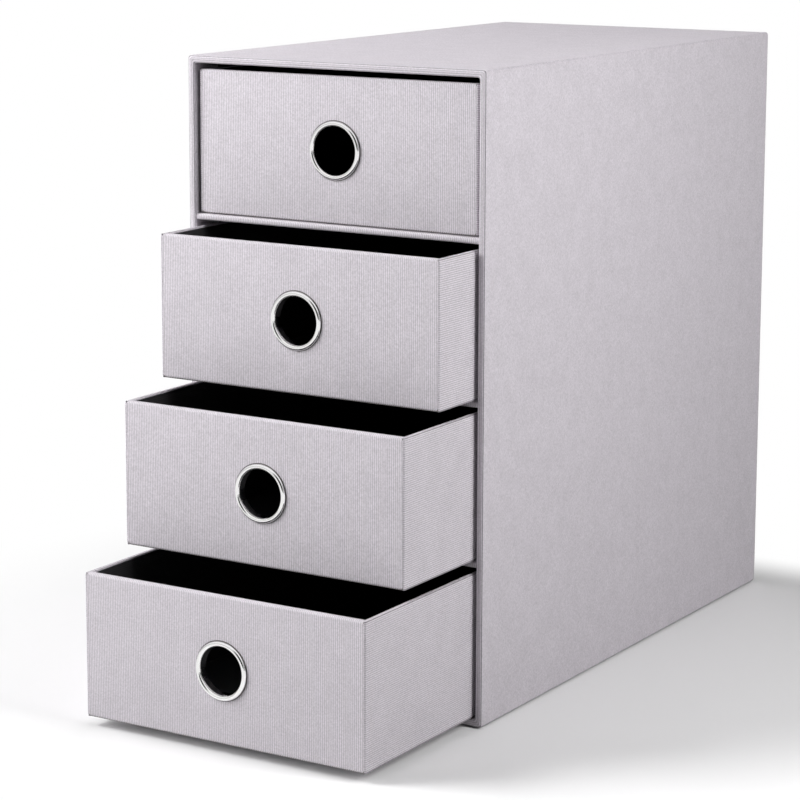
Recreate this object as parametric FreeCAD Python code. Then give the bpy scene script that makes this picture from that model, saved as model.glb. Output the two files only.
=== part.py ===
import FreeCAD, Part
import math
import os

# Desk box with four open-topped drawers, made of grey board covered in ribbed paper.
# Each drawer front has one metal eyelet as a finger hole. The top drawer is closed,
# and the ones below it are pulled out further and further.
# Millimetres. X runs across the box, Y from the open front to the back, Z up.
# The origin is the middle of the underside.

# Casing, outside
casing_width = 150.0
casing_depth = 280.0
casing_height = 280.0
casing_board = 2.8
casing_edge_radius = 1.2
casing_rim_inner_radius = 0.9
casing_corner_inside_radius = 0.8

# Papers and cards
cover_paper = 0.25
lining_paper = 0.25
back_sheet = 0.25
underside_card = 0.7
underside_card_margin = 2.5
underside_card_corner_radius = 2.0
back_sheet_margin = 2.5
back_turn_in = 15.0
front_turn_in = 18.0

# Shelves
shelf_board = 2.3
shelf_front_setback = 0.6
shelf_edge_radius = 1.1

# Drawers
drawer_count = 4
drawer_side_clearance = 1.5
drawer_top_clearance = 2.6
drawer_back_clearance = 1.45
drawer_closed_setback = 2.0
drawer_front_board = 2.5
drawer_wall_board = 1.7
drawer_floor_board = 1.7
drawer_edge_radius = 1.2
drawer_rim_outer_radius = 0.9
drawer_rim_inner_radius = 0.6
drawer_corner_inside_radius = 0.8
drawer_lining_drop = 0.8

# How far each drawer stands out of its closed place, from the top drawer down
drawer_pulls = [0.0, 30.0, 57.0, 86.0]

# Eyelet in each drawer front
eyelet_bore_radius = 10.2
eyelet_metal = 0.35
eyelet_flange_radius = 12.7
eyelet_board_gap = 0.05
eyelet_back_roll = 0.7
washer_radius = 12.9
washer_thickness = 0.4
washer_bore_gap = 0.05

# One overrun for every cut that leaves a solid, and the slack for finding an edge by its place
overrun = 5.0
hair = 0.01
parallel_slack = 1e-6

# Worked out: casing
half_width = casing_width / 2
front_y = -casing_depth / 2
cover_back_y = casing_depth / 2 - back_sheet
wall_total = cover_paper + casing_board + lining_paper
cover_bottom_z = underside_card
cavity_half_width = half_width - wall_total
cavity_back_y = cover_back_y - wall_total
cavity_bottom_z = cover_bottom_z + wall_total
cavity_top_z = casing_height - wall_total

# Worked out: the stack of shelves and cells
shelf_total = shelf_board + 2 * cover_paper
cell_height = (cavity_top_z - cavity_bottom_z - (drawer_count - 1) * shelf_total) / drawer_count
cell_pitch = cell_height + shelf_total

# Worked out: drawers
drawer_half_width = cavity_half_width - drawer_side_clearance
drawer_height = cell_height - drawer_top_clearance
drawer_closed_front_y = front_y + drawer_closed_setback
drawer_length = cavity_back_y - drawer_back_clearance - drawer_closed_front_y
drawer_front_total = cover_paper + drawer_front_board + lining_paper
drawer_wall_total = cover_paper + drawer_wall_board + lining_paper
drawer_floor_total = cover_paper + drawer_floor_board + lining_paper


def slab(x_range, y_range, z_range):
    """Box between two x, two y and two z values."""
    corner = FreeCAD.Vector(x_range[0], y_range[0], z_range[0])
    return Part.makeBox(x_range[1] - x_range[0], y_range[1] - y_range[0], z_range[1] - z_range[0], corner)


def runs_along(edge, axis):
    """True where a straight edge is parallel to axis 0, 1 or 2."""
    if not isinstance(edge.Curve, (Part.Line, Part.LineSegment)):
        return False
    across = [part for place, part in enumerate(edge.tangentAt(edge.FirstParameter)) if place != axis]
    return max(abs(part) for part in across) < parallel_slack


def lies_at(edge, axis, place):
    """True where the whole edge is in the plane at that place on axis 0, 1 or 2."""
    return all(abs(vertex.Point[axis] - place) < hair for vertex in edge.Vertexes)


def round_edges(shape, radius, keep):
    """Fillet the edges that keep(edge) picks."""
    picked = [edge for edge in shape.Edges if keep(edge)]
    return shape.makeFillet(radius, picked)


def borders(edge, space):
    """True where the edge lies on or in the space's own box, to a hair."""
    box = FreeCAD.BoundBox(space.BoundBox)
    box.enlarge(hair)
    return box.isInside(edge.BoundBox)


def export(name, shape):
    """Write one sub-part's solids."""
    solids = Part.makeCompound(shape.Solids)
    solids.exportStep(os.path.join("parts", name + ".step"))
    print(name, "solids", len(shape.Solids), "volume", round(solids.Volume, 2), "valid", solids.isValid())


def casing_cavity(inset, y_range):
    """Space inside the casing, grown by inset into the walls."""
    half = cavity_half_width + inset
    box = slab((-half, half), y_range, (cavity_bottom_z - inset, cavity_top_z + inset))
    return round_edges(box, casing_corner_inside_radius + inset, lambda edge: runs_along(edge, 1))


def casing_form(inset):
    """The casing's walls, open at the front, with every surface moved inwards by inset."""
    half = half_width - inset
    block = slab(
        (-half, half),
        (front_y + inset, cover_back_y - inset),
        (cover_bottom_z + inset, casing_height - inset),
    )
    block = block.makeFillet(casing_edge_radius - inset, block.Edges)
    cavity = casing_cavity(inset, (front_y - overrun, cavity_back_y + inset))
    mouth = front_y + inset
    return round_edges(
        block.cut(cavity),
        casing_rim_inner_radius - inset,
        lambda edge: lies_at(edge, 1, mouth) and borders(edge, cavity),
    )


def make_casing():
    """Cover paper, boards, inner lining, back sheet and underside card of the casing."""
    outer = casing_form(0)
    core = casing_form(cover_paper)
    skin = outer.cut(core)
    lined = (front_y + front_turn_in, cavity_back_y + lining_paper)
    lining_zone = casing_cavity(lining_paper, lined)
    cavity = casing_cavity(0, (front_y - overrun, cavity_back_y))

    window_half = half_width - back_turn_in
    window_z = (cover_bottom_z + back_turn_in, casing_height - back_turn_in)
    window = slab((-window_half, window_half), (cover_back_y - cover_paper, cover_back_y), window_z)
    export("casing_cover", skin.cut(lining_zone).cut(window))
    export("casing_lining", lining_zone.cut(cavity))

    sheet_half = half_width - back_sheet_margin
    sheet = slab(
        (-sheet_half, sheet_half),
        (cover_back_y, cover_back_y + back_sheet),
        (cover_bottom_z + back_sheet_margin, casing_height - back_sheet_margin),
    )
    export("back_sheet", sheet.fuse(window).removeSplitter())

    card_half = half_width - underside_card_margin
    card_y = casing_depth / 2 - underside_card_margin
    card = slab((-card_half, card_half), (-card_y, card_y), (0, underside_card))
    card = round_edges(card, underside_card_corner_radius, lambda edge: runs_along(edge, 2))
    export("underside_card", card)

    inner = cavity_half_width + lining_paper
    far = half_width + overrun
    whole_y = (front_y - overrun, casing_depth / 2 + overrun)
    whole_z = (-overrun, casing_height + overrun)
    base_top = cavity_bottom_z - lining_paper
    lid_bottom = cavity_top_z + lining_paper
    back_front = cavity_back_y + lining_paper
    between = (-inner, inner)
    zones = {
        "casing_base_board": slab(between, whole_y, (-overrun, base_top)),
        "casing_top_board": slab(between, whole_y, (lid_bottom, casing_height + overrun)),
        "casing_back_board": slab(between, (back_front, whole_y[1]), (base_top, lid_bottom)),
    }
    sides = core
    for name, zone in zones.items():
        export(name, core.common(zone))
        sides = sides.cut(zone)
    export("casing_left_board", sides.common(slab((-far, 0), whole_y, whole_z)))
    export("casing_right_board", sides.common(slab((0, far), whole_y, whole_z)))


def shelf_form(inset, low_z):
    """One shelf between the casing's walls, its papered faces moved inwards by inset."""
    block = slab(
        (-cavity_half_width, cavity_half_width),
        (front_y + shelf_front_setback + inset, cavity_back_y),
        (low_z + inset, low_z + shelf_total - inset),
    )
    front = front_y + shelf_front_setback + inset
    return round_edges(
        block,
        shelf_edge_radius - inset,
        lambda edge: runs_along(edge, 0) and lies_at(edge, 1, front),
    )


def make_shelves():
    """Shelf boards, each with a paper wrapped over its front edge, numbered from the top."""
    for number in range(1, drawer_count):
        low_z = cavity_top_z - number * cell_pitch
        board = shelf_form(cover_paper, low_z)
        export("shelf_%d_board" % number, board)
        export("shelf_%d_wrap" % number, shelf_form(0, low_z).cut(board))


def drawer_cavity(inset, z_range):
    """Space inside a drawer, grown by inset into its walls, with the drawer's front at y 0."""
    half = drawer_half_width - drawer_wall_total + inset
    y_range = (drawer_front_total - inset, drawer_length - drawer_wall_total + inset)
    box = slab((-half, half), y_range, z_range)
    return round_edges(box, drawer_corner_inside_radius + inset, lambda edge: runs_along(edge, 2))


def drawer_form(inset):
    """The walls and floor of a drawer, with every surface moved inwards by inset."""
    half = drawer_half_width - inset
    top = drawer_height - inset
    block = slab((-half, half), (inset, drawer_length - inset), (inset, top))
    block = round_edges(
        block,
        drawer_edge_radius - inset,
        lambda edge: runs_along(edge, 2) or lies_at(edge, 2, inset),
    )
    block = round_edges(block, drawer_rim_outer_radius - inset, lambda edge: lies_at(edge, 2, top))
    cavity = drawer_cavity(inset, (drawer_floor_total - inset, drawer_height + overrun))
    return round_edges(
        block.cut(cavity),
        drawer_rim_inner_radius - inset,
        lambda edge: lies_at(edge, 2, top) and borders(edge, cavity),
    )


def hole_tool(radius, y_range):
    """Cylinder along Y at the middle of a drawer's front."""
    centre = FreeCAD.Vector(0, y_range[0], drawer_height / 2)
    return Part.makeCylinder(radius, y_range[1] - y_range[0], centre, FreeCAD.Vector(0, 1, 0))


def polar(centre, radius, degrees):
    """Point of the eyelet's section, where x is the distance from its axis and y the depth."""
    angle = math.radians(degrees)
    return FreeCAD.Vector(centre[0] + radius * math.cos(angle), centre[1] + radius * math.sin(angle), 0)


def spun(outline):
    """Turn a closed section about the eyelet's axis and set it in the drawer's front."""
    face = Part.Face(Part.Wire(outline))
    ring = face.revolve(FreeCAD.Vector(0, 0, 0), FreeCAD.Vector(0, 1, 0), 360)
    ring.translate(FreeCAD.Vector(0, 0, drawer_height / 2))
    return ring


def make_eyelet():
    """Pressed eyelet: a rolled flange in front, a barrel, and a curl over the washer behind."""
    bend = (eyelet_flange_radius - eyelet_bore_radius) / 2
    crown = (eyelet_bore_radius + bend, 0)
    inner_bend = bend - eyelet_metal
    back = drawer_front_total + washer_thickness
    curl = (eyelet_bore_radius + eyelet_metal + eyelet_back_roll, back)
    curl_out = eyelet_back_roll + eyelet_metal
    straight, semicircle, crest = 0, 180, 270
    points = [
        polar(crown, bend, straight),
        polar(crown, bend, crest),
        polar(crown, bend, semicircle),
        polar(curl, curl_out, semicircle),
        polar(curl, curl_out, semicircle / 2),
        polar(curl, curl_out, straight),
        polar(curl, eyelet_back_roll, straight),
        polar(curl, eyelet_back_roll, semicircle / 2),
        polar(curl, eyelet_back_roll, semicircle),
        polar(crown, inner_bend, semicircle),
        polar(crown, inner_bend, crest),
        polar(crown, inner_bend, straight),
    ]
    outline = [
        Part.Arc(points[0], points[1], points[2]).toShape(),
        Part.LineSegment(points[2], points[3]).toShape(),
        Part.Arc(points[3], points[4], points[5]).toShape(),
        Part.LineSegment(points[5], points[6]).toShape(),
        Part.Arc(points[6], points[7], points[8]).toShape(),
        Part.LineSegment(points[8], points[9]).toShape(),
        Part.Arc(points[9], points[10], points[11]).toShape(),
        Part.LineSegment(points[11], points[0]).toShape(),
    ]
    return spun(outline)


def make_washer():
    """Flat ring on the inside of the drawer front, held by the eyelet's curl."""
    reach = (0, drawer_front_total + washer_thickness)
    ring = hole_tool(washer_radius, (drawer_front_total, reach[1]))
    bore = eyelet_bore_radius + eyelet_metal + washer_bore_gap
    return ring.cut(hole_tool(bore, (reach[0], reach[1] + overrun)))


def make_drawer_solids():
    """All the pieces of one drawer, with its front at y 0 and its underside at z 0."""
    core = drawer_form(cover_paper)
    skin = drawer_form(0).cut(core)
    floor_z = drawer_floor_total - lining_paper
    zone = drawer_cavity(lining_paper, (floor_z, drawer_height - drawer_lining_drop))
    space = drawer_cavity(0, (drawer_floor_total, drawer_height + overrun))
    hole = hole_tool(
        eyelet_bore_radius + eyelet_metal + eyelet_board_gap,
        (-overrun, drawer_front_total + overrun),
    )
    far = drawer_half_width + overrun
    front_inner = drawer_front_total - lining_paper
    back_inner = drawer_length - drawer_wall_total + lining_paper
    above = (floor_z, drawer_height + overrun)
    front_zone = slab((-far, far), (-overrun, front_inner), above)
    back_zone = slab((-far, far), (back_inner, drawer_length + overrun), above)
    floor_zone = slab((-far, far), (-overrun, drawer_length + overrun), (-overrun, floor_z))
    return {
        "cover": skin.cut(zone).cut(hole),
        "lining": zone.cut(space).cut(hole),
        "front_board": core.common(front_zone).cut(hole),
        "back_board": core.common(back_zone),
        "left_board": core.common(slab((-far, 0), (front_inner, back_inner), above)),
        "right_board": core.common(slab((0, far), (front_inner, back_inner), above)),
        "floor_board": core.common(floor_zone),
        "eyelet": make_eyelet(),
        "eyelet_washer": make_washer(),
    }


def make_drawers():
    """Copies of the drawer in their cells, numbered from the top, each pulled out by its own amount."""
    pieces = make_drawer_solids()
    for number in range(1, drawer_count + 1):
        cell_floor = cavity_top_z - cell_height - (number - 1) * cell_pitch
        place = FreeCAD.Vector(0, drawer_closed_front_y - drawer_pulls[number - 1], cell_floor)
        for name, shape in pieces.items():
            copy = shape.copy()
            copy.translate(place)
            export("drawer_%d_%s" % (number, name), copy)


def main():
    os.makedirs("parts", exist_ok=True)
    print("cell height", round(cell_height, 3), "pitch", round(cell_pitch, 3))
    print("drawer", round(2 * drawer_half_width, 3), round(drawer_length, 3), round(drawer_height, 3))
    make_casing()
    make_shelves()
    make_drawers()


main()
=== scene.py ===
import math
from collections import namedtuple

import bmesh
import bpy
from bpy.props import FloatProperty, FloatVectorProperty, IntProperty, PointerProperty
from mathutils import Matrix, Vector


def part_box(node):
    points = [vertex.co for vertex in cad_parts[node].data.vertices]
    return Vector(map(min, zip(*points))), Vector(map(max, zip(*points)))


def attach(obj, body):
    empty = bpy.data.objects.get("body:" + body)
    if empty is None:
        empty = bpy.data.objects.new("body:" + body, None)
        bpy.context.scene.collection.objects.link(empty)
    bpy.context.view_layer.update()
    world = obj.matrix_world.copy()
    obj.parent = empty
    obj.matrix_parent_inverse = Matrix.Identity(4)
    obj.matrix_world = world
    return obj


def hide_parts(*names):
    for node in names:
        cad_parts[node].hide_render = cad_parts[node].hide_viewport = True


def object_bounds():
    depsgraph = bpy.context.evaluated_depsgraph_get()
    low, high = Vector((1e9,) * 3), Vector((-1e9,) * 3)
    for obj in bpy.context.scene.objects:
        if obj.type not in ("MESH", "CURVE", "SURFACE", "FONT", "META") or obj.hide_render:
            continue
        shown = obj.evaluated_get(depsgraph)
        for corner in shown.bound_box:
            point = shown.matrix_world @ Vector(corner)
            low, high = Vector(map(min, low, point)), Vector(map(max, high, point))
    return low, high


bl_info = {
    "name": "Desktop mini drawers",
    "version": (1, 0, 0),
    "blender": (4, 5, 0),
    "location": "3D View > Sidebar > Mini Drawers",
    "description": "Dresses a desk box with four drawers in ribbed paper, black lining and nickel",
    "category": "Object",
}

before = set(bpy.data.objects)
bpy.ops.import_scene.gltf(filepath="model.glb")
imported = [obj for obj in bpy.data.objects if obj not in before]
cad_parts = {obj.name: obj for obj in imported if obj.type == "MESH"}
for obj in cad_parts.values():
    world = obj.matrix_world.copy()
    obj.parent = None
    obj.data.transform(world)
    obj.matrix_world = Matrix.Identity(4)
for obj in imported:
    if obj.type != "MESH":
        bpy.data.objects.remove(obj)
cad_box = [list(corner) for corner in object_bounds()]

# Metres. X runs across the box, Y from the open front to the back, Z up.
MM = 0.001
DRAWERS = (1, 2, 3, 4)
SHELVES = (1, 2, 3)

# How high each quarter of a rib stands against the crest
RIB_SHARES = (0.0, 0.78, 1.0, 0.78)
QUARTERS = len(RIB_SHARES)

# How many pieces each round has: corner of a ring, bend of a sheet, hole, eyelet's roll and its curl
CORNER_STEPS = 5
BEND_STEPS = 5
HOLE_SIDES = 96
ROLL_SIDES = 40
CURL_STEPS = 8

# Degrees up to which an edge is shaded smooth
SMOOTH_TO = 40
EYELET_SMOOTH_TO = 60

# Angle at a vertex where a groove's painted shade is full, and where paper is left without painted shade
GROOVE_SHADE_ANGLE = math.radians(81)
SHADE_FREE_ANGLE = math.radians(95)

# How near two places count as one
HAIR = 0.02 * MM

# The wall strip is thinner by the base sheet's thickness over this, to leave the sheet room
STRIP_THINNING = 3

# The seam's notches: how many ribs they squeeze, and how much of the rounding they take up
NOTCH_RIBS = 2
NOTCH_SHARE = 0.95

# Length of the holes' cutters, in thicknesses of the paper, and how far the lining laps onto the washer
PANEL_REACH = 4
LINING_REACH = 8
WASHER_LAP = 2 * MM

# How near the flange's edge, across and in depth, points are turned in with it, in undercuts
UNDERCUT_ACROSS = 0.5
UNDERCUT_DEEP = 0.7

# Scale, detail and roughness of the materials' noises
CLOUDS = (110.0, 5.0, 0.6)
PULP = (1300.0, 4.0, 0.7)
FIBRES = (2600.0, 3.0, 0.7)
BUFFING = (900.0, 4.0, 0.6)

# Levels between which most of a noise lies, and how uneven the clouds are against the pulp's grain
NOISE_RANGE = (0.3, 0.7)
CLOUD_SHARE = 0.2

# Roughness, specular level and grain of the ribbed papers, and depth and strength of the fibres' bump
COVER_FINISH = (0.82, 0.25, 0.16)
LINING_FINISH = (0.7, 0.3, 0.12)
FIBRE_BUMP = (0.03 * MM, 0.8)

# The metal's roughness and how much it varies, and stretch, depth and strength of its buffing marks
METAL_ROUGHNESS = (0.1365, 0.0455)
BUFFING_STRETCH = (1.0, 8.0, 1.0)
BUFFING_BUMP = (0.004 * MM, 0.5)

# Name, colour, roughness, specular level and grain for the packed nodes that end in each word
PLAIN_FINISHES = {
    "board": ("grey_board_fibre", (0.20, 0.19, 0.18), 0.9, 0.2, 0.10),
    "casing_lining": ("grey_lining_paper", (0.14, 0.135, 0.14), 0.8, 0.25, 0.06),
    "underside_card": ("black_base_card", (0.018, 0.018, 0.018), 0.75, 0.3, 0.10),
}

# The studio that the metal mirrors: cosines between which its level changes, and both levels
DARK_SIDE_FADE = (0.84, 0.94, 1.0, 0.02)
DARK_END_FADE = (0.68, 0.84, 1.0, 0.01)
CEILING_FADE = (0.1, 0.6, 0.66, 1.0)

# Place, what it looks at, size and power of each lamp
MIDDLE = (0, -0.02, 0.14)
LAMPS = {
    "key_lamp": ((-0.60, -0.55, 0.75), MIDDLE, (0.4, 0.4), 6.4),
    "left_lamp": ((-1.60, -1.20, 0.50), MIDDLE, (1.3, 1.3), 40.5),
    "back_lamp": ((0.00, 1.50, 1.60), MIDDLE, (1.4, 1.4), 5.8),
    "side_lamp": ((0.60, -0.16, 0.48), (0.06, -0.14, 0.14), (0.20, 0.5), 3.1),
    "right_lamp": ((1.90, 0.70, 0.35), MIDDLE, (0.6, 0.6), 5.0),
}

# Side of the square floor, and its roughness and specular level
FLOOR_SIZE = 12
FLOOR_FINISH = (0.9, 0.1)

Ring = namedtuple("Ring", "low high")
Move = namedtuple("Move", "length radius")


# Sizes and colours that a user may change

class PaperSettings(bpy.types.PropertyGroup):
    """The ribbed cover paper and the black lining paper"""

    rib_pitch: FloatProperty(
        name="Rib pitch", description="Distance from one rib to the next",
        default=0.902 * MM, min=0.3 * MM, unit="LENGTH")
    rib_height: FloatProperty(
        name="Rib height", description="How far a rib stands above the groove beside it",
        default=0.10 * MM, min=0.0, unit="LENGTH")
    thickness: FloatProperty(
        name="Paper thickness", description="Thickness of the cover and lining papers",
        default=0.25 * MM, min=0.05 * MM, unit="LENGTH")
    cover_colour: FloatVectorProperty(
        name="Cover colour", description="Colour of the pale ribbed paper",
        subtype="COLOR", min=0.0, max=1.0, default=(0.700, 0.661, 0.708))
    # Painted shade: the paper's colour is darker in the grooves, standing in for the shade between the ribs
    groove_shade_level: FloatProperty(
        name="Groove shade level", description="How light the paper is in the grooves, against 1 on the crests",
        default=0.45, min=0.0, max=1.0)
    lining_colour: FloatVectorProperty(
        name="Lining colour", description="Colour of the black ribbed paper inside the drawers",
        subtype="COLOR", min=0.0, max=1.0, default=(0.045, 0.045, 0.047))


class CasingSettings(bpy.types.PropertyGroup):
    """Roundings and laps of the casing's cover"""

    edge_radius: FloatProperty(
        name="Edge radius", description="Rounding of the outer edges",
        default=1.2 * MM, min=0.2 * MM, unit="LENGTH")
    rim_radius: FloatProperty(
        name="Rim radius", description="Rounding where the front rim turns into the box",
        default=0.9 * MM, min=0.1 * MM, unit="LENGTH")
    back_lap: FloatProperty(
        name="Back lap", description="How far the cover is turned onto the back",
        default=15.0 * MM, min=3.0 * MM, unit="LENGTH")
    shelf_radius: FloatProperty(
        name="Shelf edge radius", description="Rounding of the shelves' front edges",
        default=1.1 * MM, min=0.1 * MM, unit="LENGTH")


class DrawerSettings(bpy.types.PropertyGroup):
    """Roundings, laps and seams of a drawer's papers"""

    edge_radius: FloatProperty(
        name="Edge radius", description="Rounding of the upright edges",
        default=0.5 * MM, min=0.2 * MM, unit="LENGTH")
    bottom_radius: FloatProperty(
        name="Bottom radius", description="Rounding of the bottom edges",
        default=1.5 * MM, min=0.2 * MM, unit="LENGTH")
    rim_outer_radius: FloatProperty(
        name="Outer rim radius", description="Rounding of the rim towards the outside",
        default=1.15 * MM, min=0.1 * MM, unit="LENGTH")
    rim_inner_radius: FloatProperty(
        name="Inner rim radius", description="Rounding of the rim towards the inside",
        default=0.6 * MM, min=0.1 * MM, unit="LENGTH")
    inside_corner_radius: FloatProperty(
        name="Inside corner radius", description="Rounding of the lining's upright corners",
        default=0.8 * MM, min=0.1 * MM, unit="LENGTH")
    under_lap: FloatProperty(
        name="Under lap", description="How far the wall paper is turned under the drawer",
        default=10.0 * MM, min=3.0 * MM, unit="LENGTH")
    base_sheet: FloatProperty(
        name="Base sheet", description="Thickness of the paper glued under the drawer",
        default=0.15 * MM, min=0.05 * MM, unit="LENGTH")
    base_margin: FloatProperty(
        name="Base margin", description="How far the base sheet stays inside the drawer's outline",
        default=2.5 * MM, min=1.5 * MM, unit="LENGTH")
    seam_inset: FloatProperty(
        name="Seam inset", description="Distance from the front's upright seam to the drawer's side",
        default=0.7 * MM, min=0.2 * MM, unit="LENGTH")
    seam: FloatProperty(
        name="Seam", description="Gap between the front panel's paper and the paper of the walls",
        default=0.12 * MM, min=0.02 * MM, unit="LENGTH")
    eyelet_gap: FloatProperty(
        name="Eyelet gap", description="Gap between the front paper's hole and the eyelet's flange",
        default=0.30 * MM, min=0.0, unit="LENGTH")
    top_notch: FloatProperty(
        name="Top notch", description="How much wider the seam is at the rim",
        default=0.35 * MM, min=0.0, unit="LENGTH")
    bottom_notch: FloatProperty(
        name="Bottom notch", description="How much wider the seam is at the bottom edge",
        default=0.40 * MM, min=0.0, unit="LENGTH")


class EyeletSettings(bpy.types.PropertyGroup):
    """The pressed metal eyelets"""

    metal: FloatProperty(
        name="Metal", description="Thickness of the eyelet's sheet metal",
        default=0.25 * MM, min=0.1 * MM, unit="LENGTH")
    curl: FloatProperty(
        name="Curl", description="Inner radius of the curl behind the washer",
        default=0.7 * MM, min=0.2 * MM, unit="LENGTH")
    funnel: FloatProperty(
        name="Funnel", description="How many times as deep as high the flange's inner rounding is",
        default=1.6, min=1.0)
    undercut: FloatProperty(
        name="Undercut", description="How far the flange's edge is turned in towards the paper",
        default=0.4 * MM, min=0.0, unit="LENGTH")
    turns: IntProperty(
        name="Pieces round", description="How many pieces the ring has all round",
        default=128, min=32)
    colour: FloatVectorProperty(
        name="Metal colour", description="Colour of the polished nickel",
        subtype="COLOR", min=0.0, max=1.0, default=(0.87, 0.865, 0.86))


class StageSettings(bpy.types.PropertyGroup):
    """Floor, lamps and camera"""

    floor_level: FloatProperty(
        name="Floor level", description="How light the floor looks",
        default=0.93, min=0.0, max=1.0)
    floor_bounce: FloatProperty(
        name="Floor bounce", description="How much of its light the floor throws back onto the object",
        default=0.50, min=0.0, max=1.0)
    near_floor: FloatProperty(
        name="Near floor", description="How far from the object the floor starts to turn plain white",
        default=0.20, min=0.0, unit="LENGTH")
    far_floor: FloatProperty(
        name="Far floor", description="How far from the object the floor is plain white",
        default=0.36, min=0.1, unit="LENGTH")
    white_centre: FloatVectorProperty(
        name="White centre", description="Place on the floor that the near and far floor are measured from",
        subtype="TRANSLATION", unit="LENGTH", default=(0.06, -0.06, 0.0))
    white_behind: FloatProperty(
        name="White behind", description="How far behind the box the floor is plain white at the latest",
        default=0.05, min=0.01, unit="LENGTH")
    world_light: FloatProperty(
        name="World light", description="Strength of the even light from all round",
        default=0.03, min=0.0)
    dark_side: FloatVectorProperty(
        name="Dark side", description="Way to the dark part of the studio that the metal mirrors",
        subtype="DIRECTION", default=(0.40, -0.86, 0.31))
    dark_end: FloatVectorProperty(
        name="Dark end", description="Way to the dark right end of the studio that the metal mirrors",
        subtype="DIRECTION", default=(0.91, 0.41, 0.0))
    camera_place: FloatVectorProperty(
        name="Camera place", description="Where the camera stands",
        subtype="TRANSLATION", unit="LENGTH", default=(0.6216, -1.09286, 0.36787))
    camera_yaw: FloatProperty(
        name="Camera yaw", description="How far the camera is turned to the left of straight ahead",
        subtype="ANGLE", default=0.5526)
    camera_pitch: FloatProperty(
        name="Camera pitch", description="How far the camera looks down",
        subtype="ANGLE", default=0.1724)
    camera_roll: FloatProperty(
        name="Camera roll", description="How far the camera is rolled",
        subtype="ANGLE", default=0.0025)
    camera_lens: FloatProperty(
        name="Camera lens", description="Focal length in millimetres", default=121.3)
    camera_shift: FloatProperty(
        name="Camera shift", description="Upright shift of the picture", default=-0.10)


SETTINGS = {
    "mini_paper": PaperSettings,
    "mini_casing": CasingSettings,
    "mini_drawer": DrawerSettings,
    "mini_eyelet": EyeletSettings,
    "mini_stage": StageSettings,
}


# Working on one piece, as by hand

def only(piece):
    """Select this object alone and make it the active one."""
    bpy.ops.object.select_all(action="DESELECT")
    piece.select_set(True)
    bpy.context.view_layer.objects.active = piece


def edit(piece):
    """Go into edit mode on this object alone, with nothing selected in it."""
    only(piece)
    bpy.ops.object.mode_set(mode="EDIT")
    bpy.ops.mesh.select_all(action="DESELECT")


def leave():
    bpy.ops.object.mode_set(mode="OBJECT")


def pick_all():
    bpy.ops.mesh.select_all(action="SELECT")


def pick(piece, test, faces=False):
    """In edit mode, select the vertices whose place passes the test, or the faces whose middle does."""
    bpy.ops.mesh.select_mode(type="FACE" if faces else "VERT")
    bpy.ops.mesh.select_all(action="DESELECT")
    mesh = bmesh.from_edit_mesh(piece.data)
    for part in mesh.faces if faces else mesh.verts:
        part.select = bool(test(part.calc_center_median() if faces else part.co))
    mesh.select_flush_mode()
    bmesh.update_edit_mesh(piece.data)


def close_ends():
    """In edit mode, fill each open outline with a face."""
    bpy.ops.mesh.select_mode(type="EDGE")
    bpy.ops.mesh.select_all(action="DESELECT")
    bpy.ops.mesh.select_non_manifold()
    bpy.ops.mesh.fill_holes(sides=0)


def finish_mesh(piece, smooth_to=SMOOTH_TO):
    """Turn the faces of the closed mesh outwards and shade the round stretches smooth."""
    edit(piece)
    pick_all()
    bpy.ops.mesh.normals_make_consistent(inside=False)
    mesh = bmesh.from_edit_mesh(piece.data)
    if any(not edge.is_manifold for edge in mesh.edges):
        raise RuntimeError(piece.name + " isn't closed")
    if mesh.calc_volume(signed=True) < 0:
        bpy.ops.mesh.flip_normals()
    leave()
    smooth(piece, smooth_to)


def smooth(piece, smooth_to=SMOOTH_TO):
    """Shade the piece smooth over edges that turn by less than this many degrees."""
    only(piece)
    bpy.ops.object.shade_smooth_by_angle(angle=math.radians(smooth_to))


def finish_paper(piece):
    """Finish the mesh, and paint shade into its grooves: how deep each place lies between its neighbours
    goes into a colour attribute.
    """
    finish_mesh(piece)
    bpy.ops.geometry.color_attribute_add(
        name="groove_shade", domain="CORNER", data_type="FLOAT_COLOR", color=(1, 1, 1, 1))
    # Painted shade: places that lie deeper between their neighbours get a darker value
    bpy.ops.paint.vertex_color_dirt(
        blur_iterations=0, clean_angle=SHADE_FREE_ANGLE, dirt_angle=GROOVE_SHADE_ANGLE, normalize=False)


def apply_modifier(piece, kind, **values):
    """Add a modifier with these values and apply it at once."""
    only(piece)
    modifier = piece.modifiers.new(kind.lower(), kind)
    for name, value in values.items():
        setattr(modifier, name, value)
    bpy.ops.object.modifier_apply(modifier=modifier.name)


def new_primitive(name, add, place=(0, 0, 0), span=(1, 1, 1), turn=(0, 0, 0), **values):
    """Add a primitive at its place and size, with its place and size in its mesh."""
    bpy.ops.object.select_all(action="DESELECT")
    add(location=place, rotation=turn, **values)
    piece = bpy.context.active_object
    piece.name = name
    piece.data.name = name
    piece.scale = span
    bpy.ops.object.transform_apply(location=True, rotation=True, scale=True)
    return piece


def flat_primitive(name, add, low, high, **values):
    """Add a flat primitive between two corners, upright where they have the same Y."""
    size = high - low
    upright = size.y < HAIR
    return new_primitive(
        name, add, (low + high) / 2, (size.x, size.z if upright else size.y, 1),
        (math.pi / 2 if upright else 0, 0, 0), size=1, **values)


def join(name, pieces):
    """Join pieces into the first, merge what touches and give it the name."""
    only(pieces[0])
    for piece in pieces:
        piece.select_set(True)
    bpy.ops.object.join()
    joined = bpy.context.active_object
    joined.name = name
    joined.data.name = name
    edit(joined)
    pick_all()
    bpy.ops.mesh.remove_doubles(threshold=HAIR)
    leave()
    return joined


def copy_to(piece, name, shift):
    """A copy of the piece with its own mesh, moved by the shift."""
    only(piece)
    bpy.ops.object.duplicate(linked=False)
    copy = bpy.context.active_object
    copy.name = name
    copy.data.name = name
    bpy.ops.transform.translate(value=shift)
    bpy.ops.object.transform_apply(location=True, rotation=False, scale=False)
    return copy


def coat(piece, material):
    """Give a piece this one material."""
    piece.data.materials.clear()
    piece.data.materials.append(material)


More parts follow.
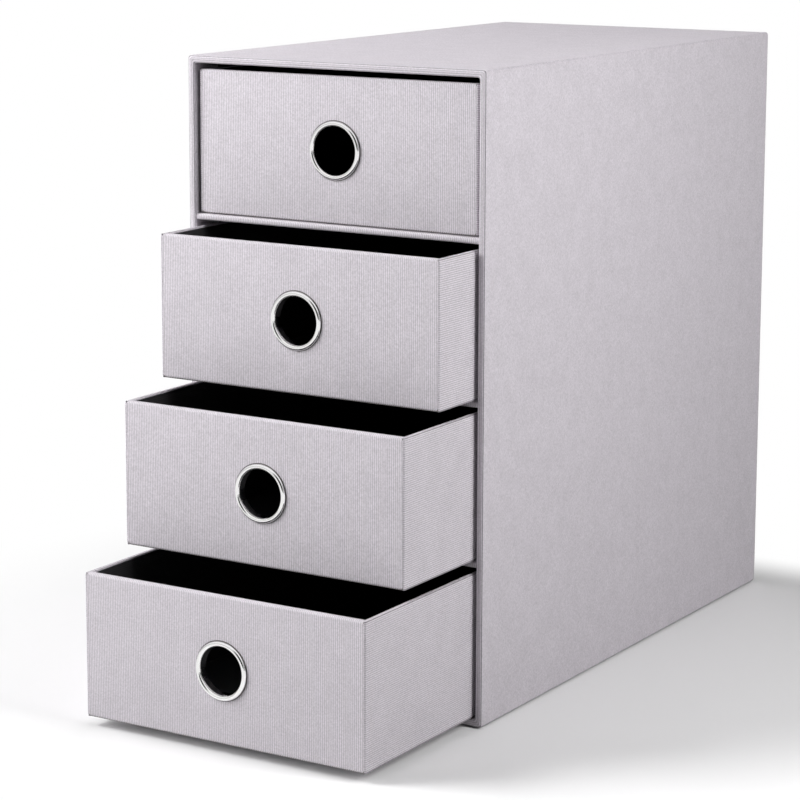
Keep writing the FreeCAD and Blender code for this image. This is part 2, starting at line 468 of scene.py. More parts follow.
def settle(piece, body, slot, replaced):
    """Give a finished piece the slot's material and its body, and hide the packed node that it stands for.
    """
    coat(piece, SLOT_MATERIALS[slot](bpy.context))
    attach(piece, body)
    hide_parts(replaced)


def settle_copies(piece, numbers, name, like, body, slot, replaced):
    """Copy piece 1 to where the other numbers' nodes are, and settle them all."""
    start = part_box(like.format(1))[0]
    pieces = [piece]
    for number in numbers[1:]:
        pieces.append(copy_to(piece, name.format(number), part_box(like.format(number))[0] - start))
    for number, made in zip(numbers, pieces):
        settle(made, body.format(number), slot, replaced.format(number))


def push_edge(value):
    """Extrude the selected edge or ring."""
    bpy.ops.mesh.extrude_region_move(TRANSFORM_OT_translate={"value": value})


def bend_edge(y, z, quarters):
    """Spin the selected edge by quarter turns round a line along X."""
    bpy.ops.mesh.spin(steps=BEND_STEPS, angle=quarters * math.pi / 2, center=(0, y, z), axis=(1, 0, 0))


def sunk(number, height):
    """How deep ribbed paper lies below its crests at a quarter of a rib."""
    return height * (1 - RIB_SHARES[number % QUARTERS])


# Ribbed paper as a ring that is stepped along

def step_ring(now, ring):
    """Extrude the selected ring and fit the new one to its own box."""
    middle = (ring.low + ring.high) / 2
    old, new = now.high - now.low, ring.high - ring.low
    scale = [1.0 if abs(before) < HAIR else after / before for before, after in zip(old, new)]
    push_edge(middle - (now.low + now.high) / 2)
    bpy.ops.transform.resize(value=scale, center_override=middle)


def stepped_ring(name, rings, corner):
    """Start as a flat rectangle with round corners, then step its outline through the other rings."""
    piece = flat_primitive(name, bpy.ops.mesh.primitive_plane_add, *rings[0])
    edit(piece)
    pick_all()
    bpy.ops.mesh.bevel(offset=corner, segments=CORNER_STEPS, affect="VERTICES")
    bpy.ops.mesh.delete(type="ONLY_FACE")
    pick_all()
    for now, ring in zip(rings, rings[1:]):
        step_ring(now, ring)
    leave()
    return piece


def ahead(length):
    return Move(length, 0)


def bend(radius):
    return Move(radius * math.pi / 2, radius)


def trace(start, heading, side, moves, distance):
    """Place and outward normal at a distance along straight stretches and quarter bends.

    Side is 1 where the outside is on the right of the way, and -1 where it is on the left.
    Each bend turns away from the outside.
    """
    place, way = Vector(start), Vector(heading)
    left = distance
    for length, radius in moves:
        part = min(left, length)
        if radius:
            centre = place + Vector((-way.y, way.x)) * side * radius
            turned = Matrix.Rotation(part / radius * side, 2)
            place = centre + turned @ (place - centre)
            way = turned @ way
        else:
            place = place + way * part
        left -= part
        if left <= 0:
            break
    return place, Vector((way.y, -way.x)) * side


def rib_trace(start, heading, side, moves, paper):
    """Points (depth, run) of ribbed paper along the way, from groove to groove."""
    total = sum(move.length for move in moves)
    count = max(1, round(total / paper.rib_pitch)) * QUARTERS
    points = []
    for number in range(count + 1):
        place, normal = trace(start, heading, side, moves, total * number / count)
        points.append(place - normal * sunk(number, paper.rib_height))
    return points


def ribbed_run(name, place, run, corner, paper):
    """The long stretch: one rib modelled as a stepped ring, then repeated."""
    first, last = run
    count = round(abs(last - first) / paper.rib_pitch)
    length = (last - first) / count
    rings = [
        place(sunk(number, paper.rib_height), first + length * number / QUARTERS)
        for number in range(QUARTERS + 1)]
    piece = stepped_ring(name, rings, corner)
    offset = place(0, first + length).low - place(0, first).low
    apply_modifier(
        piece, "ARRAY", count=count, use_relative_offset=False, use_constant_offset=True,
        constant_offset_displace=offset, use_merge_vertices=True, merge_threshold=HAIR)
    return piece


# Ribbed paper as a flat sheet

def ribbed_sheet(name, low, high, facing, pitch, height):
    """Flat grid between two corners, with ribs side by side along X.

    The crests lie in the sheet's plane and the grooves behind it.
    """
    width = (high - low).x
    columns = max(1, round(width / pitch)) * QUARTERS
    piece = flat_primitive(
        name, bpy.ops.mesh.primitive_grid_add, low, high, x_subdivisions=columns, y_subdivisions=1)
    edit(piece)
    for number in range(QUARTERS):
        pick(piece, lambda co: round((co.x - low.x) / (width / columns)) % QUARTERS == number)
        bpy.ops.transform.translate(value=facing * -sunk(number, height))
    leave()
    return piece


def thicken(piece, thickness, facing_at, facing):
    """Give the sheet its thickness behind its face: its face near a place looks along facing."""
    nearest = min(piece.data.polygons, key=lambda face: (face.center - facing_at).length)
    if nearest.normal.dot(facing) < 0:
        edit(piece)
        pick_all()
        bpy.ops.mesh.flip_normals()
        leave()
    apply_modifier(piece, "SOLIDIFY", thickness=thickness, offset=-1, use_even_offset=True)


def flat_paper(name, low, high, facing, pitch, height, thickness):
    """A finished flat sheet of ribbed paper, with its crests in the plane of the two corners."""
    sheet = ribbed_sheet(name, low, high, facing, pitch, height)
    thicken(sheet, thickness - height, (low + high) / 2, facing)
    finish_paper(sheet)
    return sheet


def cut_hole(piece, place, radius, reach):
    """Bore a round hole along Y through a finished paper."""
    cutter = new_primitive(
        "hole_cutter", bpy.ops.mesh.primitive_cylinder_add, place, turn=(math.pi / 2, 0, 0),
        vertices=HOLE_SIDES, radius=radius, depth=reach)
    apply_modifier(piece, "BOOLEAN", operation="DIFFERENCE", object=cutter, solver="EXACT")
    bpy.data.objects.remove(cutter)
    smooth(piece)


# Materials

def new_material(name, roughness=0.5, specular=0.5):
    material = bpy.data.materials.new(name)
    material.use_nodes = True
    nodes = material.node_tree.nodes
    nodes.clear()
    shader = nodes.new("ShaderNodeBsdfPrincipled")
    shader.inputs["Roughness"].default_value = roughness
    shader.inputs["Specular IOR Level"].default_value = specular
    output = nodes.new("ShaderNodeOutputMaterial")
    material.node_tree.links.new(shader.outputs["BSDF"], output.inputs["Surface"])
    return material, shader


class NodeMaker:
    """Adds nodes to a material or world and links them."""

    def __init__(self, owner):
        self.tree = owner.node_tree
        self.place = self.node("ShaderNodeTexCoord").outputs["Object"]

    def node(self, kind, inputs=None, **values):
        made = self.tree.nodes.new(kind)
        for name, value in values.items():
            setattr(made, name, value)
        for name, value in (inputs or {}).items():
            if isinstance(value, bpy.types.NodeSocket):
                self.tree.links.new(value, made.inputs[name])
            else:
                made.inputs[name].default_value = value
        return made

    def noise(self, kind, stretch=None):
        """Noise of a scale, detail and roughness, which a scale on each axis may stretch."""
        scale, detail, roughness = kind
        vector = self.place
        if stretch:
            vector = self.node("ShaderNodeMapping", {"Vector": vector, "Scale": stretch}).outputs["Vector"]
        return self.node(
            "ShaderNodeTexNoise",
            {"Vector": vector, "Scale": scale, "Detail": detail, "Roughness": roughness}).outputs["Fac"]

    def ranged(self, value, begins, ends, level=0.0, end_level=1.0, kind="LINEAR"):
        """Map a value from one range onto another."""
        return self.node(
            "ShaderNodeMapRange",
            {"Value": value, "From Min": begins, "From Max": ends, "To Min": level, "To Max": end_level},
            interpolation_type=kind).outputs["Result"]

    def spread(self, noise, middle, share):
        """Map a noise onto a middle level give or take a share."""
        return self.ranged(noise, *NOISE_RANGE, middle - share, middle + share)

    def groove_shade(self, darkest):
        """1 on flat paper and crests, and darker in the grooves, where shade is painted."""
        painted = self.node("ShaderNodeVertexColor", layer_name="groove_shade").outputs["Color"]
        return self.ranged(painted, 0.0, 1.0, darkest)

    def times(self, first, second):
        return self.node("ShaderNodeMath", {0: first, 1: second}, operation="MULTIPLY").outputs["Value"]

    def larger(self, first, second):
        return self.node("ShaderNodeMath", {0: first, 1: second}, operation="MAXIMUM").outputs["Value"]

    def tinted(self, colour, strength):
        """A colour made lighter or darker by a strength."""
        return self.node(
            "ShaderNodeVectorMath", {0: colour, "Scale": strength}, operation="SCALE").outputs["Vector"]

    def bump(self, height, distance, strength):
        made = self.node("ShaderNodeBump", {"Height": height, "Distance": distance, "Strength": strength})
        return made.outputs["Normal"]


def paper_material(name, colour, roughness, specular, grain, groove_shade_level=None):
    """Matt paper: cloudy pulp, short fibres and a fine grain, with painted shade darkening the grooves of
    ribbed paper.
    """
    material, shader = new_material(name, roughness, specular)
    maker = NodeMaker(material)
    clouds = maker.spread(maker.noise(CLOUDS), 1.0, CLOUD_SHARE * grain)
    tone = maker.times(clouds, maker.spread(maker.noise(PULP), 1.0, grain))
    # Painted shade in the grooves of ribbed paper darkens its colour
    if groove_shade_level is not None:
        tone = maker.times(tone, maker.groove_shade(groove_shade_level))
    maker.tree.links.new(maker.tinted(colour, tone), shader.inputs["Base Color"])
    maker.tree.links.new(maker.bump(maker.noise(FIBRES), *FIBRE_BUMP), shader.inputs["Normal"])
    return material


def metal_material(name, colour):
    """Polished plated metal with faint buffing marks."""
    material, shader = new_material(name)
    maker = NodeMaker(material)
    marks = maker.noise(BUFFING, BUFFING_STRETCH)
    maker.tree.links.new(maker.spread(marks, *METAL_ROUGHNESS), shader.inputs["Roughness"])
    maker.tree.links.new(maker.bump(marks, *BUFFING_BUMP), shader.inputs["Normal"])
    shader.inputs["Base Color"].default_value = (*colour, 1.0)
    shader.inputs["Metallic"].default_value = 1.0
    return material


def once(name, make, *values):
    """The material of that name, made if it isn't there yet."""
    return bpy.data.materials.get(name) or make(name, *values)


def cover_paper(context):
    paper = context.scene.mini_paper
    return once(
        "ribbed_cover_paper", paper_material, paper.cover_colour[:], *COVER_FINISH, paper.groove_shade_level)


def black_paper(context):
    paper = context.scene.mini_paper
    return once(
        "black_lining_paper", paper_material, paper.lining_colour[:], *LINING_FINISH, paper.groove_shade_level)


def nickel(context):
    return once("polished_nickel", metal_material, context.scene.mini_eyelet.colour[:])


SLOT_MATERIALS = {"ribbed_paper": cover_paper, "black_paper": black_paper, "nickel": nickel}


# Casing

def casing_place(depth, run):
    """Ring of the casing's cover, sunk into the walls by a depth, at a place along Y."""
    low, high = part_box("casing_cover")
    return Ring(
        Vector((low.x + depth, run, low.z + depth)),
        Vector((high.x - depth, run, high.z - depth)))


class MINI_OT_casing_cover(bpy.types.Operator):
    """Ribbed paper round the casing, over its front rim and onto its back"""

    bl_idname = "mini.casing_cover"
    bl_label = "Casing cover"

    def execute(self, context):
        paper, casing = context.scene.mini_paper, context.scene.mini_casing
        low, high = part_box("casing_cover")
        lining_low, lining_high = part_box("casing_lining")
        wall = high.x - lining_high.x + paper.thickness
        round_edge, round_rim = casing.edge_radius, casing.rim_radius
        run = (high.y - round_edge, low.y + round_edge)

        front = rib_trace(
            (0, run[1]), (0, -1), 1,
            [bend(round_edge), ahead(wall - round_edge - round_rim), bend(round_rim),
             ahead(lining_low.y - low.y - round_rim)],
            paper)
        skin = paper.thickness
        lap = casing.back_lap
        plain = [
            (wall - skin, lining_low.y), (wall - skin, low.y + skin), (skin, low.y + skin),
            (skin, high.y - skin), (lap, high.y - skin), (lap, high.y)]
        back = rib_trace((0, run[0]), (0, 1), -1, [bend(round_edge), ahead(lap - round_edge)], paper)
        back[-1] = Vector(plain[-1])

        middle = ribbed_run("casing_middle", casing_place, run, round_edge, paper)
        mouth = stepped_ring("casing_mouth", [casing_place(*point) for point in front + plain], round_edge)
        rear = stepped_ring("casing_rear", [casing_place(*point) for point in back], round_edge)
        cover = join("casing_ribbed_cover", [middle, mouth, rear])
        finish_paper(cover)
        settle(cover, "casing", "ribbed_paper", "casing_cover")
        return {"FINISHED"}


class MINI_OT_back_sheet(bpy.types.Operator):
    """Ribbed sheet glued over the cover's laps on the back"""

    bl_idname = "mini.back_sheet"
    bl_label = "Back sheet"

    def execute(self, context):
        paper = context.scene.mini_paper
        low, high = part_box("back_sheet")
        sheet = flat_paper(
            "back_ribbed_sheet", Vector((low.x, high.y, low.z)), high, Vector((0, 1, 0)),
            paper.rib_pitch, paper.rib_height, paper.thickness)
        settle(sheet, "casing", "ribbed_paper", "back_sheet")
        return {"FINISHED"}


class MINI_OT_shelf_wraps(bpy.types.Operator):
    """Ribbed paper over the front edge of each shelf"""

    bl_idname = "mini.shelf_wraps"
    bl_label = "Shelf wraps"

    def execute(self, context):
        paper, radius = context.scene.mini_paper, context.scene.mini_casing.shelf_radius
        low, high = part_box("shelf_1_wrap")
        facing = Vector((0, 0, 1))
        wrap = ribbed_sheet(
            "shelf_1_ribbed_wrap", Vector((low.x, low.y + radius, high.z)), high, facing,
            paper.rib_pitch, paper.rib_height)
        front = low.y + radius
        edit(wrap)
        pick(wrap, lambda co: co.y < front + HAIR)
        bend_edge(front, high.z - radius, -1)
        push_edge((0, 0, -(high.z - low.z - 2 * radius)))
        bend_edge(front, low.z + radius, -1)
        push_edge((0, high.y - front, 0))
        leave()
        thicken(wrap, paper.thickness - paper.rib_height, Vector((0, (front + high.y) / 2, high.z)), facing)
        finish_paper(wrap)
        settle_copies(
            wrap, SHELVES, "shelf_{}_ribbed_wrap", "shelf_{}_wrap", "casing", "ribbed_paper",
            "shelf_{}_wrap")
        return {"FINISHED"}


# Drawers

class DrawerSizes:
    """Sizes of drawer 1, taken from its packed papers."""

    def __init__(self, context):
        self.paper = context.scene.mini_paper
        self.cut = context.scene.mini_drawer
        self.low, self.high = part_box("drawer_1_cover")
        lining_low, lining_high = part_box("drawer_1_lining")
        skin = self.paper.thickness
        self.inside_low = lining_low + Vector((skin, skin, skin))
        self.inside_high = lining_high - Vector((skin, skin, 0))
        self.side_wall = self.high.x - self.inside_high.x
        self.front_wall = self.inside_low.y - self.low.y
        self.lining_drop = self.high.z - self.inside_high.z
        self.seam_x = self.high.x - self.cut.seam_inset
        self.bottom = self.low.z + self.cut.base_sheet
        eyelet_low, eyelet_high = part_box("drawer_1_eyelet")
        self.hole_z = (eyelet_low.z + eyelet_high.z) / 2

    def wall_place(self, depth, run):
        """Ring of the wall paper, sunk by a depth; the front wall is thicker than the others."""
        outer, inner = self.cut.rim_outer_radius, self.cut.rim_inner_radius
        flat = self.side_wall - outer - inner
        at_rim = run > self.bottom + self.cut.bottom_radius
        share = min(max((depth - outer) / flat, 0.0), 1.0) if at_rim else 0.0
        front = depth + share * (self.front_wall - self.side_wall)
        return Ring(
            Vector((self.low.x + depth, self.low.y + front, run)),
            Vector((self.high.x - depth, self.high.y - depth, run)))

    def lining_place(self, depth, run):
        """Ring of the wall lining, sunk into the walls by a depth."""
        low, high = self.inside_low, self.inside_high
        return Ring(
            Vector((low.x - depth, low.y - depth, run)),
            Vector((high.x + depth, high.y + depth, run)))

    def mitre(self, side, gap):
        """Point and inward normal of the upright plane where front and side papers meet."""
        edge = Vector(((self.seam_x - gap) * side, self.low.y, 0))
        inner = Vector((
            (self.high.x - self.side_wall - self.cut.inside_corner_radius - gap) * side,
            self.low.y + self.front_wall, 0))
        along = (inner - edge).normalized()
        return edge, Vector((-along.y * side, along.x * side, 0))


def copy_for_drawers(piece, kind, slot, replaced):
    """Copy drawer 1's piece to the other drawers and settle all four."""
    settle_copies(
        piece, DRAWERS, "drawer_{}_" + kind, "drawer_{}_cover", "drawer_{}", slot, "drawer_{}_" + replaced)


class MINI_OT_drawer_walls(bpy.types.Operator):
    """Ribbed strip round three walls of each drawer, over the rim and under the bottom"""

    bl_idname = "mini.drawer_walls"
    bl_label = "Drawer wall strips"

    def execute(self, context):
        sizes = DrawerSizes(context)
        paper, cut = sizes.paper, sizes.cut
        skin = paper.thickness - cut.base_sheet / STRIP_THINNING
        top = sizes.high.z
        run = (sizes.bottom + cut.bottom_radius, top - cut.rim_outer_radius)
        over = rib_trace(
            (0, run[1]), (0, 1), -1,
            [bend(cut.rim_outer_radius),
             ahead(sizes.side_wall - cut.rim_outer_radius - cut.rim_inner_radius),
             bend(cut.rim_inner_radius), ahead(sizes.lining_drop - cut.rim_inner_radius)],
            paper)
        inner = sizes.side_wall - skin
        plain = [
            (inner, sizes.inside_high.z), (inner, top - skin), (skin, top - skin),
            (skin, sizes.bottom + skin), (cut.under_lap, sizes.bottom + skin), (cut.under_lap, sizes.bottom)]
        under = rib_trace(
            (0, run[0]), (0, -1), 1,
            [bend(cut.bottom_radius), ahead(cut.under_lap - cut.bottom_radius)], paper)
        under[-1] = Vector(plain[-1])
        place = sizes.wall_place
        middle = ribbed_run("strip_middle", place, run, cut.edge_radius, paper)
        rim = stepped_ring("strip_rim", [place(*point) for point in over + plain], cut.edge_radius)
        lap = stepped_ring("strip_lap", [place(*point) for point in under], cut.edge_radius)
        strip = join("drawer_1_wall_strip", [middle, rim, lap])
        self.open_front(strip, sizes)
        finish_paper(strip)
        copy_for_drawers(strip, "wall_strip", "ribbed_paper", "cover")
        return {"FINISHED"}

    def open_front(self, strip, sizes):
        """Take the front wall's part away between two upright mitre planes, and close the cut ends."""
        reach = sizes.low.y + sizes.cut.under_lap + HAIR
        planes = [sizes.mitre(side, 0) for side in (-1, 1)]
        edit(strip)
        for point, normal in planes:
            pick(strip, lambda co: co.y < reach, faces=True)
            bpy.ops.mesh.bisect(plane_co=point, plane_no=normal)
        pick(
            strip, lambda co: co.y < reach and all((co - point).dot(normal) > 0 for point, normal in planes),
            faces=True)
        bpy.ops.mesh.delete(type="FACE")
        close_ends()
        leave()


class MINI_OT_front_panels(bpy.types.Operator):
    """Ribbed front paper of each drawer, over the rim and under the bottom, with its round hole"""

    bl_idname = "mini.front_panels"
    bl_label = "Drawer front panels"

    def execute(self, context):
        sizes = DrawerSizes(context)
        paper, cut = sizes.paper, sizes.cut
        low, high = sizes.low, sizes.high
        outer, inner, round_edge = cut.rim_outer_radius, cut.rim_inner_radius, cut.bottom_radius
        reach = sizes.seam_x + paper.rib_pitch
        facing = Vector((0, -1, 0))
        bottom, top = sizes.bottom + round_edge, high.z - outer
        panel = ribbed_sheet(
            "drawer_1_front_panel", Vector((-reach, low.y, bottom)), Vector((reach, low.y, top)), facing,
            paper.rib_pitch, paper.rib_height)
        edit(panel)
        pick(panel, lambda co: co.z > top - HAIR)
        bend_edge(low.y + outer, top, 1)
        push_edge((0, sizes.front_wall - outer - inner, 0))
        bend_edge(low.y + sizes.front_wall - inner, high.z - inner, 1)
        push_edge((0, 0, inner - sizes.lining_drop))
        pick(panel, lambda co: co.z < bottom + HAIR and co.y < low.y + outer)
        bend_edge(low.y + round_edge, bottom, -1)
        push_edge((0, cut.under_lap - round_edge, 0))
        leave()
        thicken(panel, paper.thickness - paper.rib_height, Vector((0, low.y, (bottom + top) / 2)), facing)
        self.mitre_ends(panel, sizes)
        finish_paper(panel)
        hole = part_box("drawer_1_eyelet")[1].x + cut.eyelet_gap
        cut_hole(panel, (0, low.y, sizes.hole_z), hole, PANEL_REACH * paper.thickness)
        copy_for_drawers(panel, "front_panel", "ribbed_paper", "cover")
        return {"FINISHED"}

    def mitre_ends(self, panel, sizes):
        """Cut both ends along upright mitre planes, with a wider gap at the rim and at the bottom edge."""
        cut = sizes.cut
        edit(panel)
        for side in (-1, 1):
            point, normal = sizes.mitre(side, cut.seam)
            pick_all()
            bpy.ops.mesh.bisect(plane_co=point, plane_no=normal, clear_inner=True)
            close_ends()
        squeezed = NOTCH_RIBS * sizes.paper.rib_pitch
        near = sizes.seam_x - cut.seam - squeezed
        front = sizes.low.y + cut.rim_outer_radius / 2
        notches = (
            (sizes.high.z - cut.rim_outer_radius * NOTCH_SHARE, sizes.high.z, cut.top_notch),
            (sizes.bottom - HAIR, sizes.bottom + cut.bottom_radius * NOTCH_SHARE, cut.bottom_notch))
        for side in (-1, 1):
            for lowest, highest, gap in notches:
                pick(panel, lambda co: co.x * side > near and lowest < co.z < highest and co.y < front)
                bpy.ops.transform.resize(
                    value=(1 - gap / squeezed, 1, 1), center_override=(side * near, 0, 0))
        leave()


class MINI_OT_base_sheets(bpy.types.Operator):
    """Ribbed sheet glued under each drawer, over the laps"""

    bl_idname = "mini.base_sheets"
    bl_label = "Drawer base sheets"

    def execute(self, context):
        sizes = DrawerSizes(context)
        margin = Vector((sizes.cut.base_margin, sizes.cut.base_margin, 0))
        low = sizes.low + margin
        high = Vector((sizes.high.x, sizes.high.y, sizes.low.z)) - margin
        thickness = sizes.cut.base_sheet
        sheet = flat_paper(
            "drawer_1_base_sheet", low, high, Vector((0, 0, -1)),
            sizes.paper.rib_pitch, thickness / 2, thickness)
        copy_for_drawers(sheet, "base_sheet", "ribbed_paper", "cover")
        return {"FINISHED"}


class MINI_OT_linings(bpy.types.Operator):
    """Black ribbed paper on the inside of each drawer"""

    bl_idname = "mini.linings"
    bl_label = "Drawer linings"

    def execute(self, context):
        sizes = DrawerSizes(context)
        paper, cut = sizes.paper, sizes.cut
        low, high = sizes.inside_low, sizes.inside_high
        height, skin = paper.rib_height, paper.thickness
        place = sizes.lining_place
        walls = ribbed_run("lining_walls", place, (low.z, high.z), cut.inside_corner_radius, paper)
        back = stepped_ring(
            "lining_back",
            [place(height, high.z), place(skin, high.z), place(skin, low.z), place(height, low.z)],
            cut.inside_corner_radius)
        lining = join("drawer_1_wall_lining", [walls, back])
        finish_paper(lining)
        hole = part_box("drawer_1_eyelet_washer")[1].x - WASHER_LAP
        cut_hole(lining, (0, low.y, sizes.hole_z), hole, LINING_REACH * skin)
        copy_for_drawers(lining, "wall_lining", "black_paper", "lining")

        floor = flat_paper(
            "drawer_1_floor_lining", low, Vector((high.x, high.y, low.z)), Vector((0, 0, 1)),
            paper.rib_pitch, height, skin)
        copy_for_drawers(floor, "floor_lining", "black_paper", "lining")
        return {"FINISHED"}


class MINI_OT_eyelets(bpy.types.Operator):
    """Pressed nickel eyelet in each drawer front: rolled flange, barrel and curl"""

    bl_idname = "mini.eyelets"
    bl_label = "Eyelets"

    def execute(self, context):
        made = context.scene.mini_eyelet
        low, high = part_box("drawer_1_eyelet")
        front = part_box("drawer_1_cover")[0].y
        washer_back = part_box("drawer_1_eyelet_washer")[1].y
        roll = front - low.y
        flange = high.x
        bore = flange - 2 * roll
        centre = Vector((0, front, (low.z + high.z) / 2))
        ring = new_primitive(
            "drawer_1_eyelet_ring", bpy.ops.mesh.primitive_circle_add,
            centre + Vector((bore + roll, 0, 0)), vertices=ROLL_SIDES, radius=roll)
        edit(ring)
        pick(ring, lambda co: co.y > front + HAIR)
        bpy.ops.mesh.delete(type="VERT")
        pick(ring, lambda co: co.x < bore + roll and co.y > front - HAIR)
        push_edge((0, washer_back - front, 0))
        pick(ring, lambda co: co.x < bore + roll - HAIR and co.y < front + HAIR)
        bpy.ops.transform.resize(value=(1, made.funnel, 1), center_override=(bore, front - roll, centre.z))
        edge = flange - UNDERCUT_ACROSS * made.undercut
        pick(ring, lambda co: co.x > edge and co.y > front - UNDERCUT_DEEP * made.undercut)
        bpy.ops.transform.translate(value=(-made.undercut, 0, 0))
        pick(ring, lambda co: abs(co.x - bore) < HAIR and co.y > washer_back - HAIR)
        curl = made.curl + made.metal
        bpy.ops.mesh.spin(
            steps=CURL_STEPS, angle=math.pi, center=(bore + curl, washer_back, centre.z), axis=(0, 0, 1))
        pick_all()
        bpy.ops.mesh.spin(steps=made.turns, angle=2 * math.pi, center=centre, axis=(0, 1, 0))
        pick_all()
        bpy.ops.mesh.remove_doubles(threshold=HAIR)
        leave()
        crest = centre + Vector((bore + roll, -roll, 0))
        thicken(ring, made.metal, crest, Vector((0, -1, 0)))
        finish_mesh(ring, EYELET_SMOOTH_TO)
        copy_for_drawers(ring, "eyelet_ring", "nickel", "eyelet")
        return {"FINISHED"}


class MINI_OT_frame_finish(bpy.types.Operator):
    """Finishes for the boards, papers, card and washers that stay as packed"""

    bl_idname = "mini.frame_finish"
    bl_label = "Boards and washers"

    def execute(self, context):
        finishes = {
            ending: once(name, paper_material, *values)
            for ending, (name, *values) in PLAIN_FINISHES.items()}
        finishes["eyelet_washer"] = nickel(context)
        for name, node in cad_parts.items():
            for ending, material in finishes.items():
                if name.endswith(ending):
                    coat(node, material)
        return {"FINISHED"}


# Stage

def grey(level):
    return (level, level, level, 1.0)


def add_lamp(name, place, target, size, power):
    """Rectangular lamp that looks at a target and shows neither in the picture nor in the metal."""
    lamp = bpy.data.lights.new(name, "AREA")
    lamp.shape = "RECTANGLE"
    lamp.size, lamp.size_y = size
    lamp.energy = power
    holder = bpy.data.objects.new(name, lamp)
    bpy.context.scene.collection.objects.link(holder)
    holder.location = place
    holder.rotation_euler = (Vector(target) - Vector(place)).to_track_quat("-Z", "Y").to_euler()
    holder.visible_camera = False
    holder.visible_glossy = False


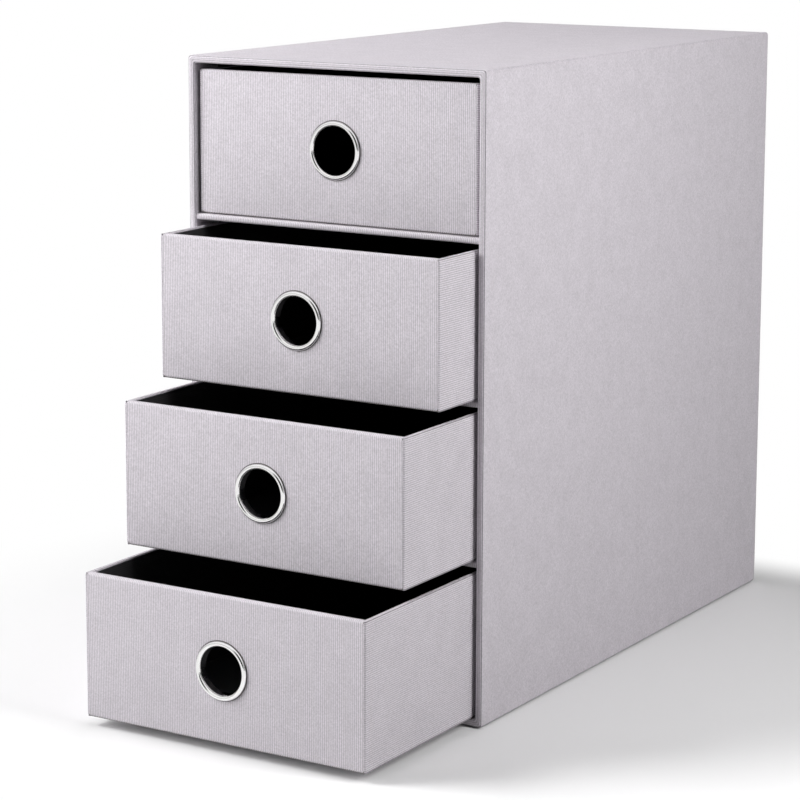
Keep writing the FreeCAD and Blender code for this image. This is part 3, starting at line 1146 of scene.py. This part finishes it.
class MINI_OT_stage(bpy.types.Operator):
    """Pale floor, white backdrop, soft lamps and the camera"""

    bl_idname = "mini.stage"
    bl_label = "Stage"

    def execute(self, context):
        stage = context.scene.mini_stage
        scene = context.scene
        scene.view_settings.view_transform = "Standard"
        self.floor(stage)
        self.world(stage, scene)
        for name, values in LAMPS.items():
            add_lamp(name, *values)
        self.camera(stage, scene)
        return {"FINISHED"}

    def floor(self, stage):
        """Pale floor that keeps the shadow near the object and is plain white to the eye further off."""
        floor = new_primitive("stage_floor", bpy.ops.mesh.primitive_plane_add, size=FLOOR_SIZE)
        material, shader = new_material("stage_floor_paint", *FLOOR_FINISH)
        maker = NodeMaker(material)
        path = maker.node("ShaderNodeLightPath").outputs
        seen = maker.larger(path["Is Camera Ray"], path["Is Glossy Ray"])
        bounce, level = grey(stage.floor_bounce), grey(stage.floor_level)
        paint = maker.node("ShaderNodeMix", {0: seen, 6: bounce, 7: level}, data_type="RGBA")
        maker.tree.links.new(paint.outputs[2], shader.inputs["Base Color"])
        away = maker.node(
            "ShaderNodeVectorMath", {0: maker.place, 1: stage.white_centre},
            operation="DISTANCE").outputs["Value"]
        far = maker.ranged(away, stage.near_floor, stage.far_floor, kind="SMOOTHSTEP")
        back = cad_box[1][1]
        depth = maker.node("ShaderNodeSeparateXYZ", {"Vector": maker.place}).outputs["Y"]
        behind = maker.ranged(depth, back, back + stage.white_behind, kind="SMOOTHSTEP")
        plain = maker.times(maker.larger(far, behind), seen)
        white = maker.node("ShaderNodeEmission", {"Color": grey(1.0), "Strength": 1.0}).outputs["Emission"]
        mixed = maker.node("ShaderNodeMixShader", {0: plain, 1: shader.outputs["BSDF"], 2: white})
        output = next(node for node in maker.tree.nodes if node.type == "OUTPUT_MATERIAL")
        maker.tree.links.new(mixed.outputs["Shader"], output.inputs["Surface"])
        floor.data.materials.append(material)

    def world(self, stage, scene):
        """White to the eye, dark to the metal on the camera's side, and hardly any light on the object."""
        scene.world = scene.world or bpy.data.worlds.new("stage_world")
        scene.world.use_nodes = True
        scene.world.node_tree.nodes.clear()
        maker = NodeMaker(scene.world)
        path = maker.node("ShaderNodeLightPath").outputs
        way = maker.node("ShaderNodeTexCoord").outputs["Generated"]

        def along(direction, fade):
            """A level that changes smoothly with the cosine to a direction."""
            near = maker.node(
                "ShaderNodeVectorMath", {0: way, 1: direction}, operation="DOT_PRODUCT").outputs["Value"]
            return maker.ranged(near, *fade, kind="SMOOTHSTEP")

        sides = maker.times(along(stage.dark_side, DARK_SIDE_FADE), along(stage.dark_end, DARK_END_FADE))
        mirrored = maker.times(sides, along((0, 0, 1), CEILING_FADE))
        light = maker.node("ShaderNodeMix", {0: path["Is Glossy Ray"], 2: stage.world_light, 3: mirrored})
        strength = maker.node("ShaderNodeMix", {0: path["Is Camera Ray"], 2: light.outputs[0], 3: 1.0})
        backdrop = maker.node("ShaderNodeBackground", {"Color": grey(1.0), "Strength": strength.outputs[0]})
        maker.node("ShaderNodeOutputWorld", {"Surface": backdrop.outputs["Background"]})

    def camera(self, stage, scene):
        """Camera at the photo's place."""
        lens = bpy.data.cameras.new("camera")
        lens.lens = stage.camera_lens
        lens.shift_y = stage.camera_shift
        holder = bpy.data.objects.new("camera", lens)
        scene.collection.objects.link(holder)
        holder.location = stage.camera_place
        yaw, pitch = stage.camera_yaw, stage.camera_pitch
        looks = Vector((-math.sin(yaw) * math.cos(pitch), math.cos(yaw) * math.cos(pitch), -math.sin(pitch)))
        level = looks.to_track_quat("-Z", "Y")
        rolled = Matrix.Rotation(-stage.camera_roll, 4, looks) @ level.to_matrix().to_4x4()
        holder.rotation_euler = rolled.to_euler()
        scene.camera = holder


PIECES = (
    MINI_OT_casing_cover,
    MINI_OT_back_sheet,
    MINI_OT_shelf_wraps,
    MINI_OT_drawer_walls,
    MINI_OT_front_panels,
    MINI_OT_base_sheets,
    MINI_OT_linings,
    MINI_OT_eyelets,
    MINI_OT_frame_finish,
    MINI_OT_stage,
)


class MINI_PT_sidebar(bpy.types.Panel):
    """Lists the pieces and the stage, and the sizes and colours that they use"""

    bl_idname = "MINI_PT_sidebar"
    bl_label = "Mini Drawers"
    bl_space_type = "VIEW_3D"
    bl_region_type = "UI"
    bl_category = "Mini Drawers"

    def draw(self, context):
        for piece in PIECES:
            self.layout.operator(piece.bl_idname)
        for name, group in SETTINGS.items():
            box = self.layout.box()
            box.label(text=group.__doc__)
            for value in group.__annotations__:
                box.prop(getattr(context.scene, name), value)


CLASSES = (*SETTINGS.values(), *PIECES, MINI_PT_sidebar)


def register():
    for each in CLASSES:
        bpy.utils.register_class(each)
    for name, group in SETTINGS.items():
        setattr(bpy.types.Scene, name, PointerProperty(type=group))


def unregister():
    for name in SETTINGS:
        delattr(bpy.types.Scene, name)
    for each in reversed(CLASSES):
        bpy.utils.unregister_class(each)


def main():
    register()
    bpy.ops.mini.casing_cover()
    bpy.ops.mini.back_sheet()
    bpy.ops.mini.shelf_wraps()
    bpy.ops.mini.drawer_walls()
    bpy.ops.mini.front_panels()
    bpy.ops.mini.base_sheets()
    bpy.ops.mini.linings()
    bpy.ops.mini.eyelets()
    bpy.ops.mini.frame_finish()
    bpy.ops.mini.stage()


if __name__ == "__main__":
    main()
